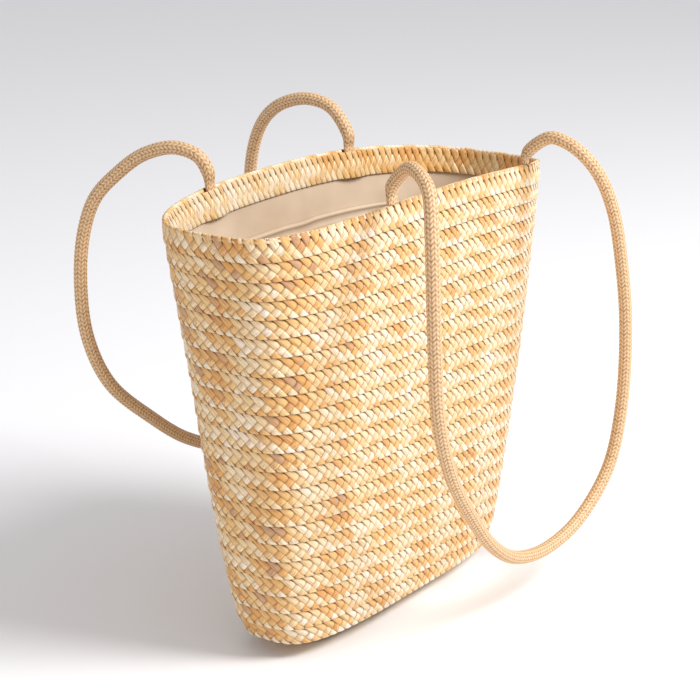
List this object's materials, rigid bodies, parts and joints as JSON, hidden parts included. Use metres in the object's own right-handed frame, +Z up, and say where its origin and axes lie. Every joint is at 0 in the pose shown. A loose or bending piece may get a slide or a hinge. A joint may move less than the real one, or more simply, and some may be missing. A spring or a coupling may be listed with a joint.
{
  "type": "straw basket bag",
  "caption": "Tall open tote of lapped, sewn straw plait, flaring from an oval base to a soft wide mouth, with a plait facing, cotton lining, slip pocket and braided cord handles.",
  "frame": {"origin": "Middle of the bag's own box at the height of the surface it stands on, without the cord handles.", "axes": "X runs along the long side of the mouth, the front face looks along -Y, and Z is up."},
  "size_m": [0.3676, 0.3088, 0.3615],
  "materials": {
    "straw": "golden and cream straw plait, slightly glossy",
    "facing_straw": "straw plait strip, slightly glossy",
    "cotton": "plain woven cream cotton, matt",
    "pocket_cotton": "plain woven cream cotton with a stitched hem, matt",
    "cord": "tan round braided cord, slight sheen"
  },
  "bodies": {
    "root": {"straw_shell": "straw", "rim_facing": "facing_straw", "lining": "cotton", "lining_pocket": "pocket_cotton", "front_handle": "cord", "back_handle": "cord"}
  },
  "joints": []
}
